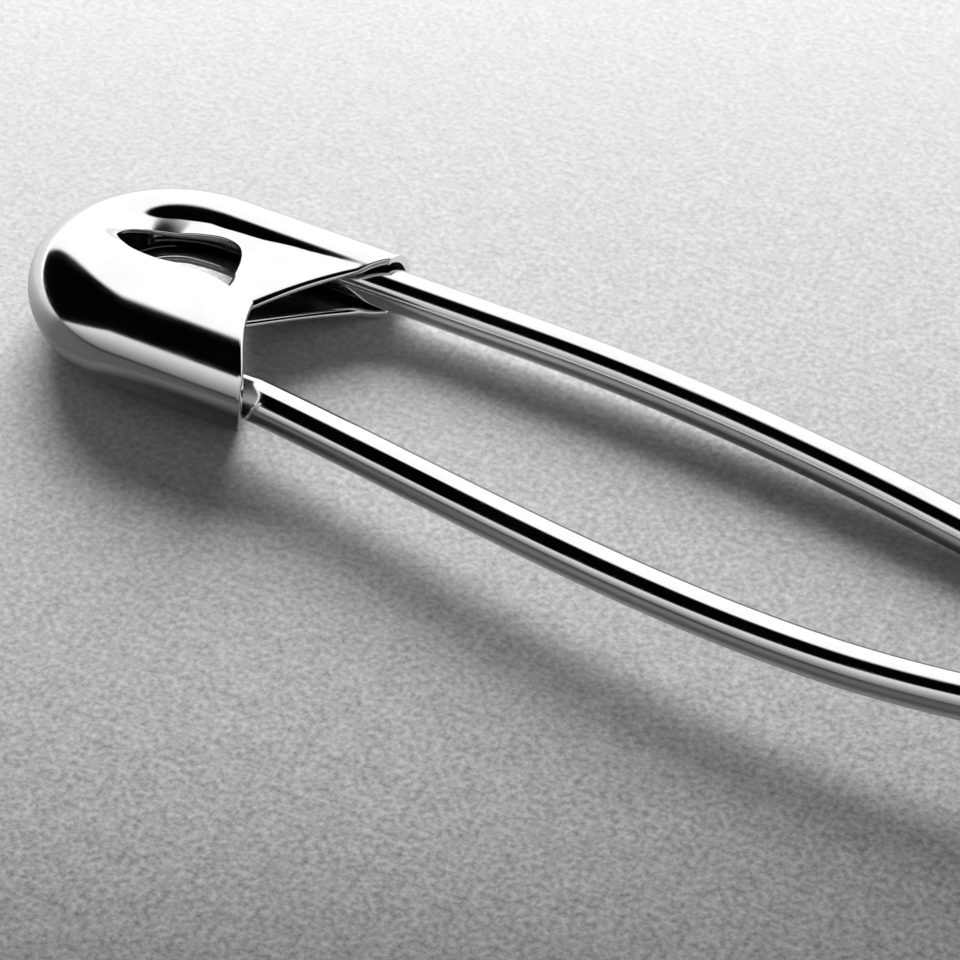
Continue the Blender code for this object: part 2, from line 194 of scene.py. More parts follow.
def hermite(start, end, start_slope, end_slope, x):
    """Height of the cubic between two (x, y) stations with the slopes given there."""
    span = end[0] - start[0]
    t = (x - start[0]) / span
    keep = 1 - t
    return (start[1] * keep * keep * (1 + 2 * t) + end[1] * t * t * (1 + 2 * keep)
            + span * t * keep * (start_slope * keep - end_slope * t))


def smooth_rows(table, position):
    """Read a table of rows at a fractional row number, on a Catmull-Rom curve."""
    last = len(table) - 1
    row = min(int(position), last - 1)
    t = position - row
    picked = [table[max(0, min(last, row + k))] for k in (-1, 0, 1, 2)]
    result = []
    for a, b, c, d in zip(*picked):
        result.append(0.5 * (2 * b + (c - a) * t + (2 * a - 5 * b + 4 * c - d) * t * t
                             + (3 * b - 3 * c + d - a) * t ** 3))
    return result


# Cap

def rim_point(part, share):
    """A point of the cap's rim in plan, and the direction square to it, into the cap."""
    if part == 0:
        x = MOUTH_X + (END_CENTRE_X - MOUTH_X) * share
        return Vector((x, RIM_FOLD_Y)), Vector((0.0, 1.0))
    if part == 2:
        tip_x = MOUTH_X + ROLL_REACH
        x = END_CENTRE_X + (tip_x - END_CENTRE_X) * share
        return Vector((x, RIM_ROLL_Y)), Vector((0.0, -1.0))
    angle = math.pi * (1.5 - share)
    outward = Vector((math.cos(angle), math.sin(angle)))
    return Vector((END_CENTRE_X, END_CENTRE_Y)) + END_RADIUS * outward, -outward


def rounded_max(first, second, rounding):
    """The greater of two heights, with the corner between them filled."""
    near = max(0.0, rounding - abs(first - second))
    return max(first, second) + (near * near / (4 * rounding) if near else 0.0)


def rim_walk(position):
    """The rim at a fractional row number, by even steps along it between the rows."""
    straight = MOUTH_X - END_CENTRE_X
    lengths = (straight, math.pi * END_RADIUS, straight + ROLL_REACH)
    starts = (0.0, lengths[0], lengths[0] + lengths[1])
    walked = [(starts[part] + lengths[part] * share,) for part, share in RIM_WALK_SHARES]
    distance = smooth_rows(walked, position)[0]
    distance = max(0.0, min(sum(lengths), distance))
    part = 0 if distance < starts[1] else 1 if distance < starts[2] else 2
    return rim_point(part, (distance - starts[part]) / lengths[part])


def turned_share(from_slot, share, stations_left):
    """How far the web is turned down, from 0 on the web to 1 at the slot and the mouth."""
    step = LAST_STEP_AT_ROLL + (LAST_STEP_AT_SLOT - LAST_STEP_AT_ROLL) * share
    at_slot = max(0.0, 1 - from_slot / TURNED_WIDTH) ** 2
    at_mouth = max(0.0, 1 - stations_left * step / TURNED_WIDTH) ** 2
    at_mouth *= blend_share(min(1.0, share / TURNED_FULL_SHARE))
    return 1 - (1 - at_slot) * (1 - at_mouth)


def cap_row(position):
    """One row of points of the cap's front face, from the rim to the slot's edge."""
    rim, inward = rim_walk(position)
    along, over = smooth_rows(SLOT_OUTLINE_SHARES, position)
    slot = Vector((CLOSED_END_X + CAP_LENGTH * along, FOLD_Y + CAP_WIDTH * over))
    pressed, valley = smooth_rows(PRESSED_SHARES, position)
    sunk = VALLEY_DEPTH * max(0.0, valley)
    tangent = Vector((-inward.y, inward.x))
    depth = (slot - rim).dot(inward)
    shift = (slot - rim).dot(tangent)
    to_roll = blend_share((rim.y - RIM_FOLD_Y) / (RIM_ROLL_Y - RIM_FOLD_Y))
    rounding = FOLD_ROUNDING + (ROLL_MIDDLE - FOLD_ROUNDING) * to_roll
    height = HALF_DEPTH + (ROLL_MIDDLE - HALF_DEPTH) * to_roll
    lip_height = HALF_DEPTH - CROWN_DROP
    edge_height = lip_height + (SHEET / 2 + WEB_SEAM / 2 - lip_height) * pressed
    power = FLANK_POWER_AT_FOLD + (FLANK_POWER_AT_ROLL - FLANK_POWER_AT_FOLD) * to_roll
    first, full = TURNED_STATIONS
    begun = (position - first) / (full - first)
    drop = TURNED_DROP * blend_share(max(0.0, min(1.0, begun)))
    last = len(SLOT_OUTLINE_SHARES) - 1
    row = []
    for face in range(ARC_FACES + 1):
        turn = 0.5 * math.pi * face / ARC_FACES
        row.append((rounding * (1 - math.cos(turn)), 0.0, height * math.sin(turn)))
    width = depth - rounding
    whole = 1 - EDGE_ROUNDING / width
    for face in range(1, FLANK_FACES + 1):
        even = face / FLANK_FACES
        crowding = FLANK_CROWDING * to_roll * math.sin(2 * math.pi * even) / (2 * math.pi)
        share = whole * (even - crowding)
        along_flank = width * share
        roll = height * math.sqrt(max(0.0, 1 - (along_flank / rounding) ** 2))
        flank = height - sunk + (edge_height + drop - height + sunk) * share ** power
        flank -= drop * turned_share(width * (1 - share), share, last - position)
        row.append((rounding + along_flank, shift * share,
                    rounded_max(roll, flank, min(VALLEY_ROUNDING, sunk))))
    points = []
    for offset, flank_slide, z in row:
        whole_slide = shift * (offset / depth) ** SLIDE_POWER
        slide = whole_slide + (flank_slide - whole_slide) * to_roll
        place = rim + inward * offset + tangent * slide
        share = offset / depth
        if position < 1:
            place.x -= MOUTH_SCALLOP * (1 - position) * math.sin(math.pi * share)
        if position > last - 1:
            place.x -= WEB_SCALLOP * (position - last + 1) * math.sin(math.pi * share)
        points.append(Vector((place.x, place.y, z)))
    return points


def trimmed_positions():
    """Row numbers from end to end, less the room that the rounded edges take."""
    last = len(SLOT_OUTLINE_SHARES) - 1
    count = last * ROWS_PER_STATION
    start, end = 0.0, float(last)
    while (rim_walk(start)[0] - rim_walk(0)[0]).length < EDGE_ROUNDING:
        start += TRIM_STEP
    while (rim_walk(end)[0] - rim_walk(last)[0]).length < EDGE_ROUNDING:
        end -= TRIM_STEP
    return [start + (end - start) * step / count for step in range(count + 1)]


CAP_ROWS = [cap_row(position) for position in trimmed_positions()]


def cap_tilt():
    """Angle at which the roll and the dome's underside both rest on the table."""
    low, high = 0.0, MOST_TILT
    for _ in range(TILT_HALVINGS):
        tilt = (low + high) / 2
        lowest = min(ROLL_RADIUS - (point.z + SHEET / 2) * math.cos(tilt)
                     + (SPINE_Y - point.y) * math.sin(tilt)
                     for row in CAP_ROWS for point in row[ARC_FACES:])
        if lowest < -FOOT_CUT:
            low = tilt
        else:
            high = tilt
    return (low + high) / 2


CAP_TILT = cap_tilt()


def tilted(point):
    """Turn a point of the level cap about the roll's axis, as the cap lies."""
    y = point[1] - SPINE_Y
    return Vector((point[0],
                   SPINE_Y + y * math.cos(CAP_TILT) + point[2] * math.sin(CAP_TILT),
                   ROLL_RADIUS - y * math.sin(CAP_TILT) + point[2] * math.cos(CAP_TILT)))


# Wire

def coil_point(angle, z):
    """A point of the coil's centre line, at an angle round its upright axis."""
    return Vector((COIL_AXIS_X + COIL_RADIUS * math.cos(angle),
                   COIL_AXIS_Y + COIL_RADIUS * math.sin(angle), z))


COIL_START = math.pi / 2 - SPINE_SPLAY
COIL_END = -2 * math.pi - math.pi / 2 + NEEDLE_SPLAY
SPINE_TANGENT = coil_point(COIL_START, COIL_BASE_Z)
NEEDLE_TANGENT = coil_point(COIL_END, COIL_TOP_Z)
NEEDLE_MOUTH = tilted((MOUTH_X, NEEDLE_MOUTH_Y, -NEEDLE_LOW))
NEEDLE_FALL = (COIL_TOP_Z - NEEDLE_MOUTH.z) / (NEEDLE_TANGENT.x - NEEDLE_MOUTH.x)
NEEDLE_WAY = Vector((-math.cos(NEEDLE_SPLAY), -math.sin(NEEDLE_SPLAY),
                     -NEEDLE_FALL * math.cos(NEEDLE_SPLAY))).normalized()
SPINE_BEND_X = MOUTH_X + SPINE_BEND_START
SPINE_WAY = Vector((-math.cos(SPINE_SPLAY), math.sin(SPINE_SPLAY), 0.0))
ROOT_START = COIL_STUB + FIT_GAP
ROOT_END = ROOT_START + ROOT_LENGTH
PIVOT_AT = ROOT_END + FIT_GAP + WIRE_RADIUS
ARM_START = PIVOT_AT + NECK_LENGTH + FIT_GAP


def on_needle(distance):
    """A point of the needle's straight root, at a distance from the coil."""
    return NEEDLE_TANGENT + NEEDLE_WAY * distance


def steps_for(length):
    """Number of even steps along a stretch of wire."""
    return max(2, round(length / RING_STEP))


def fixed_wire_line():
    """Centre line of the spine and the coil, from the hooked end to the needle's root."""
    hook_radius = END_RADIUS - ROLL_MIDDLE
    points = []
    count = steps_for(hook_radius * HOOK_ANGLE)
    for step in range(count):
        angle = math.pi / 2 + HOOK_ANGLE * (1 - step / count)
        points.append(tilted((END_CENTRE_X + hook_radius * math.cos(angle),
                              END_CENTRE_Y + hook_radius * math.sin(angle), 0.0)))
    count = steps_for(SPINE_BEND_X - END_CENTRE_X)
    for step in range(count):
        x = END_CENTRE_X + (SPINE_BEND_X - END_CENTRE_X) * step / count
        points.append(Vector((x, SPINE_Y, ROLL_RADIUS)))
    end = SPINE_TANGENT + SPINE_WAY * (COIL_STUB + FIT_GAP)
    count = steps_for(end.x - SPINE_BEND_X)
    for step in range(count):
        share = step / count
        x = SPINE_BEND_X + (end.x - SPINE_BEND_X) * share
        y = hermite((SPINE_BEND_X, SPINE_Y), (end.x, end.y), 0.0, -math.tan(SPINE_SPLAY), x)
        points.append(Vector((x, y, ROLL_RADIUS + (end.z - ROLL_RADIUS) * blend_share(share))))
    count = steps_for(COIL_STUB)
    for step in range(count):
        points.append(end + (SPINE_TANGENT - end) * step / count)
    count = steps_for(COIL_RADIUS * (COIL_START - COIL_END))
    for step in range(count + 1):
        share = step / count
        points.append(coil_point(COIL_START + (COIL_END - COIL_START) * share,
                                 COIL_BASE_Z + COIL_RISE * blend_share(share)))
    count = steps_for(COIL_STUB)
    for step in range(1, count + 1):
        points.append(on_needle(COIL_STUB * step / count))
    return points


def needle_y(x):
    """Plan of the needle arm: out to its belly, then in to the cap."""
    start = on_needle(ARM_START)
    belly = (COIL_AXIS_X - BELLY_FROM_COIL, BELLY_Y)
    if x > belly[0]:
        return hermite(belly, (start.x, start.y), 0.0, math.tan(NEEDLE_SPLAY), x)
    if x > NEEDLE_MOUTH.x:
        return hermite((NEEDLE_MOUTH.x, NEEDLE_MOUTH.y), belly, -MOUTH_SLOPE_SHARE, 0.0, x)
    return NEEDLE_MOUTH.y - MOUTH_SLOPE_SHARE * (x - NEEDLE_MOUTH.x)


def needle_line():
    """Centre line and radii of the needle arm, down to its sharp point."""
    start = on_needle(ARM_START)
    tip_x = MOUTH_X - POINT_DEPTH
    count = steps_for(start.x - tip_x)
    points, radii = [], []
    for step in range(count + 1):
        x = start.x + (tip_x - start.x) * step / count
        points.append(Vector((x, needle_y(x), start.z - NEEDLE_FALL * (start.x - x))))
        left = min(1.0, (x - tip_x) / POINT_TAPER)
        radii.append(TIP_RADIUS + (WIRE_RADIUS - TIP_RADIUS) * left ** POINT_CURVE)
    return points, radii


# Meshes

def link_object(name, bm, material):
    """Turn a bmesh into a smooth object that has the material."""
    bmesh.ops.recalc_face_normals(bm, faces=bm.faces)
    mesh = bpy.data.meshes.new(name)
    bm.to_mesh(mesh)
    bm.free()
    mesh.shade_smooth()
    mesh.materials.append(material)
    built = bpy.data.objects.new(name, mesh)
    bpy.context.collection.objects.link(built)
    return built


def swept_tube(points, radii, closed_start, closed_end):
    """Round tube along the points, with its length and girth, in wire diameters, as UVs."""
    bm = bmesh.new()
    uv = bm.loops.layers.uv.new("along_wire")
    side = UP
    rings, lengths = [], []
    last = len(points) - 1
    travelled = 0.0
    for index, (point, radius) in enumerate(zip(points, radii)):
        ahead = (points[min(index + 1, last)] - points[max(index - 1, 0)]).normalized()
        side = (side - ahead * side.dot(ahead)).normalized()
        across = ahead.cross(side)
        if index:
            travelled += (point - points[index - 1]).length
        lengths.append(travelled / WIRE_DIAMETER)
        ring = []
        for step in range(WIRE_SIDES):
            angle = 2 * math.pi * (step + 0.5) / WIRE_SIDES
            ring.append(bm.verts.new(point + radius * (math.cos(angle) * side
                                                       + math.sin(angle) * across)))
        rings.append(ring)
    for index in range(last):
        near, far = rings[index], rings[index + 1]
        for step in range(WIRE_SIDES):
            after = (step + 1) % WIRE_SIDES
            face = bm.faces.new((near[step], near[after], far[after], far[step]))
            girths = (step, step + 1, step + 1, step)
            ends = (index, index, index + 1, index + 1)
            for loop, girth, end in zip(face.loops, girths, ends):
                loop[uv].uv = (lengths[end], math.pi * girth / WIRE_SIDES)
    for closed, ring in ((closed_start, rings[0]), (closed_end, rings[-1])):
        if closed:
            bm.faces.new(ring)
    return bm


def grid_normals(grid):
    """Normal of a surface at each point of its grid, from the points beside it."""
    last_row, last_column = len(grid) - 1, len(grid[0]) - 1
    normals = []
    for row in range(last_row + 1):
        line = []
        for column in range(last_column + 1):
            along = grid[min(row + 1, last_row)][column] - grid[max(row - 1, 0)][column]
            across = (grid[row][min(column + 1, last_column)]
                      - grid[row][max(column - 1, 0)])
            line.append(along.cross(across).normalized())
        normals.append(line)
    return normals


def border_loop(rows, columns):
    """Row and column of each point of a grid's border, once round."""
    loop = [(0, column) for column in range(columns)]
    loop += [(row, columns - 1) for row in range(1, rows)]
    loop += [(rows - 1, column) for column in range(columns - 2, -1, -1)]
    loop += [(row, 0) for row in range(rows - 2, 0, -1)]
    return loop


def outward_ways(grid, normals, loop):
    """Direction out of the sheet, in its own surface, at each point of its border."""
    ways = {}
    last_row, last_column = len(grid) - 1, len(grid[0]) - 1
    for index, (row, column) in enumerate(loop):
        before = grid[loop[index - 1][0]][loop[index - 1][1]]
        after_at = loop[(index + 1) % len(loop)]
        tangent = grid[after_at[0]][after_at[1]] - before
        inner_row = min(max(row, 1), last_row - 1)
        inner_column = min(max(column, 1), last_column - 1)
        away = grid[row][column] - grid[inner_row][inner_column]
        way = tangent.cross(normals[row][column]).normalized()
        ways[(row, column)] = way if way.dot(away) > 0 else -way
    return ways


def mark_inside(bm, faces_of_sheet):
    """Mark the sheet's inner face, the one that is nearer the spine at the fold, where its material paints
    shade.
    """
    layer = bm.verts.layers.float[INSIDE_LAYER]
    fold_column = len(faces_of_sheet[0][0]) // 2
    for line in max(faces_of_sheet, key=lambda points: points[0][fold_column].co.y):
        for vertex in line:
            vertex[layer] = 1.0


def thick_sheet(grid):
    """Closed sheet round a grid of middle points, with rounded edges."""
    normals = grid_normals(grid)
    rows, columns = len(grid), len(grid[0])
    loop = border_loop(rows, columns)
    ways = outward_ways(grid, normals, loop)
    bm = bmesh.new()
    bm.verts.layers.float.new(INSIDE_LAYER)
    faces_of_sheet = []
    for side in (0.5, -0.5):
        points = [[bm.verts.new(grid[row][column] + normals[row][column] * (SHEET * side))
                   for column in range(columns)] for row in range(rows)]
        for near, far in zip(points, points[1:]):
            for step in range(columns - 1):
                bm.faces.new((near[step], near[step + 1], far[step + 1], far[step]))
        faces_of_sheet.append(points)
    outer, inner = faces_of_sheet
    mark_inside(bm, faces_of_sheet)
    profiles = []
    for row, column in loop:
        way, normal = ways[(row, column)], normals[row][column]
        middle = grid[row][column]
        profile = [outer[row][column]]
        for step in range(1, EDGE_FACES):
            turn = math.pi * step / EDGE_FACES
            profile.append(bm.verts.new(middle + normal * (SHEET / 2 * math.cos(turn))
                                        + way * (EDGE_ROUNDING * math.sin(turn))))
        profiles.append(profile + [inner[row][column]])
    for index, profile in enumerate(profiles):
        following = profiles[(index + 1) % len(profiles)]
        for step in range(EDGE_FACES):
            bm.faces.new((profile[step], profile[step + 1],
                          following[step + 1], following[step]))
    return bm


def build_cap(material):
    """The folded sheet, with rounded edges and its underside flat on the table."""
    grid = []
    for row in CAP_ROWS:
        front = [tilted(point) for point in reversed(row)]
        grid.append(front + [tilted((p.x, p.y, -p.z)) for p in row[1:]])
    bm = thick_sheet(grid)
    for vertex in bm.verts:
        vertex.co.z = max(vertex.co.z, 0.0)
    return link_object("cap_sheet", bm, material)


# Materials

def add_node(tree, kind, **settings):
    """A new node, with the settings given."""
    node = tree.nodes.new(kind)
    for name, value in settings.items():
        setattr(node, name, value)
    return node


def noise(tree, vector, scale, detail, roughness):
    """A noise texture read at a vector socket."""
    node = add_node(tree, "ShaderNodeTexNoise")
    node.inputs["Scale"].default_value = scale
    node.inputs["Detail"].default_value = detail
    node.inputs["Roughness"].default_value = roughness
    tree.links.new(vector, node.inputs["Vector"])
    return node.outputs["Fac"]


def stretched(tree, vector, scale):
    """The vector with each of its parts scaled."""
    node = add_node(tree, "ShaderNodeVectorMath", operation='MULTIPLY')
    node.inputs[1].default_value = scale
    tree.links.new(vector, node.inputs[0])
    return node.outputs["Vector"]


def reach_along(tree, vector, direction):
    """How far a vector socket reaches in a fixed direction."""
    node = add_node(tree, "ShaderNodeVectorMath", operation='DOT_PRODUCT')
    node.inputs[1].default_value = direction
    tree.links.new(vector, node.inputs[0])
    return node.outputs["Value"]


def spread(tree, value, low, high, from_low=0.0, from_high=1.0, kind='LINEAR'):
    """A value carried from one range to another, kept inside it."""
    node = add_node(tree, "ShaderNodeMapRange", interpolation_type=kind)
    node.inputs["From Min"].default_value = from_low
    node.inputs["From Max"].default_value = from_high
    node.inputs["To Min"].default_value = low
    node.inputs["To Max"].default_value = high
    tree.links.new(value, node.inputs["Value"])
    return node.outputs["Result"]


def combined(tree, operation, first, second):
    """Two numbers or sockets joined by one operation."""
    node = add_node(tree, "ShaderNodeMath", operation=operation)
    for socket, value in zip(node.inputs, (first, second)):
        if isinstance(value, (int, float)):
            socket.default_value = value
        else:
            tree.links.new(value, socket)
    return node.outputs["Value"]


# Bright nickel plate. Noises are (scale, detail, roughness); a range is the part of a
# noise that is spread over the values beside it.
PLATE_TONE = (0.88, 0.88, 0.885)
HAZY_TONE_SHARE = 0.93
HAZE = (260.0, 4.0, 0.6)
HAZE_TONE_RANGE = (0.35, 0.65)
HAZE_ROUGHNESS = (0.08, 0.13)
HAZE_ROUGHNESS_RANGE = (0.3, 0.7)
SCRATCHES = (1.0, 5.0, 0.65)
SCRATCH_ROUGHNESS = (0.0, 0.06)
SCRATCH_RANGE = (0.52, 0.75)
SCRATCH_BUMP = 0.02
WAVES = (190.0, 2.0, 0.5)
WAVE_BUMP = 0.03
BUMP_HEIGHT = 0.02 * MM
DRAWN_STRETCH = (0.6, 26.0, 1.0)
PRESSED_STRETCH = (220.0, 3200.0, 900.0)

# The cap's inner face has painted shade: its plate tone is darkened there, and it is also made rougher
INSIDE_PAINTED_SHADE_TONE = 0.4
INSIDE_DULLNESS = 0.15


def mixed_tone(tree, first, second_tone, factor):
    """A colour that goes from the first, a tone or a socket, to the second tone."""
    node = add_node(tree, "ShaderNodeMix", data_type='RGBA')
    if isinstance(first, tuple):
        node.inputs["A"].default_value = (*first, 1.0)
    else:
        tree.links.new(first, node.inputs["A"])
    node.inputs["B"].default_value = (*second_tone, 1.0)
    tree.links.new(factor, node.inputs["Factor"])
    return node.outputs["Result"]


def bump(tree, height, strength, distance, under=None):
    """Normal of a bump, over another bump where one is given."""
    node = add_node(tree, "ShaderNodeBump")
    node.inputs["Strength"].default_value = strength
    node.inputs["Distance"].default_value = distance
    tree.links.new(height, node.inputs["Height"])
    if under is not None:
        tree.links.new(under, node.inputs["Normal"])
    return node.outputs["Normal"]


def scaled_tone(tone, factor):
    """A tone made darker by a factor."""
    return tuple(part * factor for part in tone)


def nickel(name, scratch_vector_of):
    """Bright nickel plate: hairline scratches, faint unevenness and a slight haze, with painted shade on the
    cap's inner face.
    """
    material = bpy.data.materials.new(name)
    material.use_nodes = True
    tree = material.node_tree
    shader = tree.nodes["Principled BSDF"]
    coordinates = add_node(tree, "ShaderNodeTexCoord")
    place = coordinates.outputs["Object"]
    hairs = scratch_vector_of(tree, coordinates)
    haze = noise(tree, place, *HAZE)
    scratches = noise(tree, hairs, *SCRATCHES)
    waves = noise(tree, place, *WAVES)
    inside = add_node(tree, "ShaderNodeAttribute", attribute_name=INSIDE_LAYER).outputs["Fac"]
    shader.inputs["Metallic"].default_value = 1.0
    shades = mixed_tone(tree, scaled_tone(PLATE_TONE, HAZY_TONE_SHARE), PLATE_TONE,
                        spread(tree, haze, 0.0, 1.0, *HAZE_TONE_RANGE))
    # Painted shade: the plate's tone is darkened on the cap's inner face
    with_painted_shade = mixed_tone(tree, shades, scaled_tone(PLATE_TONE, INSIDE_PAINTED_SHADE_TONE), inside)
    tree.links.new(with_painted_shade, shader.inputs["Base Color"])
    dull = combined(tree, 'ADD', spread(tree, haze, *HAZE_ROUGHNESS, *HAZE_ROUGHNESS_RANGE),
                    spread(tree, scratches, *SCRATCH_ROUGHNESS, *SCRATCH_RANGE))
    dull = combined(tree, 'ADD', dull, combined(tree, 'MULTIPLY', inside, INSIDE_DULLNESS))
    tree.links.new(dull, shader.inputs["Roughness"])
    fine = bump(tree, scratches, SCRATCH_BUMP, BUMP_HEIGHT)
    broad = bump(tree, waves, WAVE_BUMP, BUMP_HEIGHT, fine)
    tree.links.new(broad, shader.inputs["Normal"])
    return material


def drawn_lines(tree, coordinates):
    """Scratches that run along the wire, as drawing it through a die leaves them."""
    return stretched(tree, coordinates.outputs["UV"], DRAWN_STRETCH)


def pressed_lines(tree, coordinates):
    """Scratches that run along the cap, as the press leaves them."""
    return stretched(tree, coordinates.outputs["Object"], PRESSED_STRETCH)


def grey_ramp(tree, share, stops):
    """A grey level read from (position, level) stops."""
    ramp = add_node(tree, "ShaderNodeValToRGB")
    elements = ramp.color_ramp.elements
    while len(elements) < len(stops):
        elements.new(1.0)
    for element, (position, level) in zip(elements, stops):
        element.position = position
        element.color = (level, level, level, 1.0)
    tree.links.new(share, ramp.inputs["Fac"])
    return ramp.outputs["Color"]


# Painted light and shade on the paper: its lightness from near the camera to far from it, standing in for
# the fall of the key light
PAPER_NEAR = -40 * MM
PAPER_FAR = 130 * MM
PAPER_PAINTED_LIGHT = (
    (0.000, 0.205), (0.030, 0.215), (0.050, 0.235), (0.065, 0.26), (0.115, 0.37),
    (0.165, 0.44), (0.225, 0.50), (0.320, 0.61), (0.400, 0.66), (0.500, 0.73),
    (0.700, 0.62), (1.000, 0.50),
)

# Grain of the paper. Its depths are those near the camera and far from it, and its way
# is the share of the paper over which it goes from one to the other.
TOOTH = (2900.0, 2.0, 0.6)
TOOTH_SHARE = 1.0
TOOTH_RANGE = (0.25, 0.75)
CLOUDS = (700.0, 3.0, 0.6)
CLOUD_SHARE = 0.25
CLOUD_RANGE = (0.3, 0.7)
GRAIN_DEPTHS = (0.41, 0.12)
GRAIN_WAY = (0.1, 0.45)
PAPER_ROUGHNESS = 0.9
PAPER_SPECULAR = 0.1
TOOTH_BUMP = 0.35
TOOTH_HEIGHT = 0.05 * MM

# Painted shade and painted light on the paper, seen only as mirrored in the metal: it is darker near the
# camera and to the left of the cap, as if a card stood there, and glows white far away. Distances are from
# the middle of the pin.
NEAR_DIMMING = (0.7, 0.0)
NEAR_FADE_AWAY = (4 * MM, 15 * MM)
NEAR_SHARE_LEFTWARD = (0.75, 1.0)
NEAR_FADE_LEFTWARD = (12 * MM, 20 * MM)
LEFT_DIMMING = (0.0, 0.8)
LEFT_FADE_LEFTWARD = (28 * MM, 35 * MM)
LEFT_FADE_AWAY = (12 * MM, 26 * MM)
FAR_GLOW_AWAY = (60 * MM, 120 * MM)


def painted_mirror_shade(tree, away, leftward):
    """How much painted shade darkens the paper in its reflections, from 0 to 1."""
    near = combined(tree, 'MULTIPLY',
                    spread(tree, away, *NEAR_DIMMING, *NEAR_FADE_AWAY),
                    spread(tree, leftward, *NEAR_SHARE_LEFTWARD, *NEAR_FADE_LEFTWARD))
    left = combined(tree, 'MULTIPLY',
                    spread(tree, leftward, *LEFT_DIMMING, *LEFT_FADE_LEFTWARD),
                    spread(tree, away, 1.0, 0.0, *LEFT_FADE_AWAY))
    return combined(tree, 'MAXIMUM', near, left)


def paper():
    """Pale uncoated paper with a fine tooth, with painted light that makes it brighter away from the camera,
    and painted shade and glow seen only in the metal.
    """
    material = bpy.data.materials.new("paper")
    material.use_nodes = True
    tree = material.node_tree
    shader = tree.nodes["Principled BSDF"]
    place = add_node(tree, "ShaderNodeTexCoord").outputs["Object"]
    right, forward = camera_axes()[:2]
    away = reach_along(tree, place, forward)
    leftward = reach_along(tree, place, -right)
    share = spread(tree, away, 0.0, 1.0, PAPER_NEAR, PAPER_FAR)
    tooth = noise(tree, place, *TOOTH)
    clouds = noise(tree, place, *CLOUDS)
    grain = combined(tree, 'ADD',
                     spread(tree, tooth, -TOOTH_SHARE, TOOTH_SHARE, *TOOTH_RANGE),
                     spread(tree, clouds, -CLOUD_SHARE, CLOUD_SHARE, *CLOUD_RANGE))
    grain = combined(tree, 'MULTIPLY', grain, spread(tree, share, *GRAIN_DEPTHS, *GRAIN_WAY))
    # Painted light: the paper's lightness by its distance from the camera
    level = grey_ramp(tree, share, PAPER_PAINTED_LIGHT)
    grained = combined(tree, 'MULTIPLY', level, combined(tree, 'ADD', grain, 1.0))
    # Painted shade and a painted glow on the paper, seen only in reflections
    mirrored = add_node(tree, "ShaderNodeLightPath").outputs["Is Glossy Ray"]
    dimming = combined(tree, 'MULTIPLY', mirrored, painted_mirror_shade(tree, away, leftward))
    kept = combined(tree, 'SUBTRACT', 1.0, dimming)
    tree.links.new(combined(tree, 'MULTIPLY', grained, kept), shader.inputs["Base Color"])
    painted_far_glow = combined(tree, 'MULTIPLY', mirrored, spread(tree, away, 0.0, 1.0, *FAR_GLOW_AWAY))
    tree.links.new(painted_far_glow, shader.inputs["Emission Strength"])
    shader.inputs["Emission Color"].default_value = (1.0, 1.0, 1.0, 1.0)
    shader.inputs["Roughness"].default_value = PAPER_ROUGHNESS
    shader.inputs["Specular IOR Level"].default_value = PAPER_SPECULAR
    tree.links.new(bump(tree, tooth, TOOTH_BUMP, TOOTH_HEIGHT), shader.inputs["Normal"])
    return material


# Studio

def facing(view):
    """Rotation of a camera or lamp that looks along a direction."""
    return view.to_track_quat('-Z', 'Y').to_euler()


def place_camera():
    """The photograph's camera."""
    data = bpy.data.cameras.new("camera")
    data.lens = CAMERA_LENS
    data.sensor_width = CAMERA_SENSOR
    camera = bpy.data.objects.new("camera", data)
    view = camera_axes()[2]
    camera.location = CAMERA_TARGET - view * CAMERA_DISTANCE
    camera.rotation_euler = facing(view)
    bpy.context.collection.objects.link(camera)
    bpy.context.scene.camera = camera


# Large soft lamp low behind the pin
KEY_ELEVATION = math.radians(30.0)
KEY_DISTANCE = 0.55
KEY_WIDTH = 0.42
KEY_HEIGHT = 0.31
KEY_POWER = 6.2

# Narrow lamp on the place on the paper that is seen through both slots of the cap
SLOT_GLIMPSE = Vector((-31.2, 4.85, 0.0)) * MM
SLOT_LAMP_DISTANCE = 0.2
SLOT_LAMP_CONE = math.radians(1.4)
SLOT_LAMP_BLEND = 0.3
SLOT_LAMP_RADIUS = 2.0 * MM
SLOT_LAMP_POWER = 4.0


def place_lamp(data, target, toward, distance):
    """Lamp at a distance from its target that isn't seen in the metal."""
    lamp = bpy.data.objects.new(data.name, data)
    lamp.location = target + toward * distance
    lamp.rotation_euler = facing(-toward)
    lamp.visible_glossy = False
    bpy.context.collection.objects.link(lamp)


def place_key_light():
    """Soft main light; its shadows fall towards the camera."""
    forward = camera_axes()[1]
    data = bpy.data.lights.new("key", 'AREA')
    data.shape = 'RECTANGLE'
    data.size = KEY_WIDTH
    data.size_y = KEY_HEIGHT
    data.energy = KEY_POWER
    toward = forward * math.cos(KEY_ELEVATION) + UP * math.sin(KEY_ELEVATION)
    place_lamp(data, CAMERA_TARGET, toward, KEY_DISTANCE)


def place_slot_light():
    """Light through the slots, on the paper under the cap."""
    data = bpy.data.lights.new("slot_glimpse", 'SPOT')
    data.spot_size = SLOT_LAMP_CONE
    data.spot_blend = SLOT_LAMP_BLEND
    data.shadow_soft_size = SLOT_LAMP_RADIUS
    data.energy = SLOT_LAMP_POWER
    place_lamp(data, SLOT_GLIMPSE, -camera_axes()[2], SLOT_LAMP_DISTANCE)


# Brightness of the studio seen in the metal, by share of the half circle from the
# camera's side over the top to the far side
STUDIO_BANDS = (
    (0.000, 0.18), (0.100, 0.36), (0.200, 0.60), (0.250, 0.76), (0.292, 0.86),
    (0.303, 0.0), (0.560, 0.0), (0.610, 1.15), (1.000, 1.25),
)

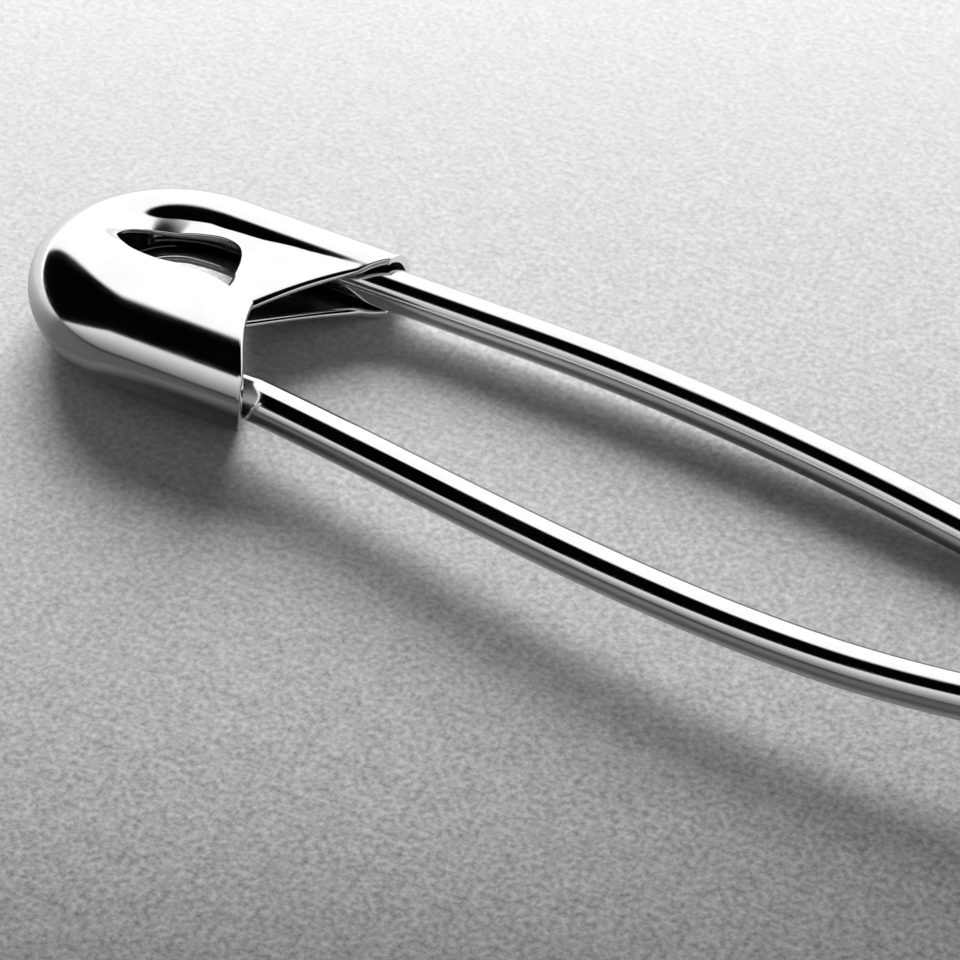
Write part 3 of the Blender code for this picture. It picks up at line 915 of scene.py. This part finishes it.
ZENITH_SHARE = 0.5

# How far the bright wall falls back towards the dark top at its left end, and where
LEFT_FALL = (0.0, 0.5)
LEFT_FALL_RANGE = (0.2, 0.7)

# Level at which the room lights the paper
ROOM_LEVEL = 0.15


def build_world():
    """A wall behind the pin, bright but at its left end, a dark top and a grey near side."""
    world = bpy.data.worlds.new("studio")
    bpy.context.scene.world = world
    world.use_nodes = True
    tree = world.node_tree
    background = tree.nodes["Background"]
    direction = add_node(tree, "ShaderNodeTexCoord").outputs["Generated"]
    right, forward = camera_axes()[:2]
    up, near, left = (reach_along(tree, direction, axis) for axis in (UP, -forward, -right))
    angle = combined(tree, 'ARCTAN2', up, near)
    share = combined(tree, 'DIVIDE', angle, math.pi)
    fall = spread(tree, left, *LEFT_FALL, *LEFT_FALL_RANGE, 'SMOOTHSTEP')
    share = combined(tree, 'MAXIMUM', combined(tree, 'MINIMUM', share, ZENITH_SHARE),
                     combined(tree, 'SUBTRACT', share, fall))
    bands = grey_ramp(tree, share, STUDIO_BANDS)
    seen = add_node(tree, "ShaderNodeLightPath").outputs["Is Glossy Ray"]
    mix = add_node(tree, "ShaderNodeMix", data_type='RGBA')
    mix.inputs["A"].default_value = (ROOM_LEVEL, ROOM_LEVEL, ROOM_LEVEL, 1.0)
    tree.links.new(seen, mix.inputs["Factor"])
    tree.links.new(bands, mix.inputs["B"])
    tree.links.new(mix.outputs["Result"], background.inputs["Color"])


FLOOR_REACH = 2.0


def place_floor():
    """The sheet of paper that the pin lies on."""
    bm = bmesh.new()
    bmesh.ops.create_grid(bm, x_segments=1, y_segments=1, size=FLOOR_REACH)
    link_object("floor", bm, paper())


def build_pin():
    """The cap and the three stretches of wire, each on the body that carries it."""
    wire_plate = nickel("wire_nickel", drawn_lines)
    cap_plate = nickel("cap_nickel", pressed_lines)

    cap = build_cap(cap_plate)
    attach(cap, "frame")
    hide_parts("cap")

    line = fixed_wire_line()
    bm = swept_tube(line, [WIRE_RADIUS] * len(line), closed_start=True, closed_end=False)
    fixed = link_object("spine_and_coil", bm, wire_plate)
    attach(fixed, "frame")
    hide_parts("spine_arm", "coil_spring")

    count = steps_for(ARM_START - COIL_STUB)
    line = [on_needle(COIL_STUB + (ARM_START - COIL_STUB) * step / count)
            for step in range(count + 1)]
    bm = swept_tube(line, [WIRE_RADIUS] * len(line), closed_start=False, closed_end=False)
    bend = link_object("needle_bend", bm, wire_plate)
    reach = PIVOT_AT - ROOT_START
    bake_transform(bend, "needle_root", "needle_neck",
             start=on_needle(PIVOT_AT - reach), end=on_needle(PIVOT_AT + reach))
    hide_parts("needle_root", "needle_neck")

    line, radii = needle_line()
    bm = swept_tube(line, radii, closed_start=False, closed_end=True)
    needle = link_object("needle_shaft", bm, wire_plate)
    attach(needle, "needle_arm")
    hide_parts("needle_arm")


build_pin()
place_floor()
place_camera()
place_key_light()
place_slot_light()
build_world()
bpy.context.scene.view_settings.view_transform = 'Standard'
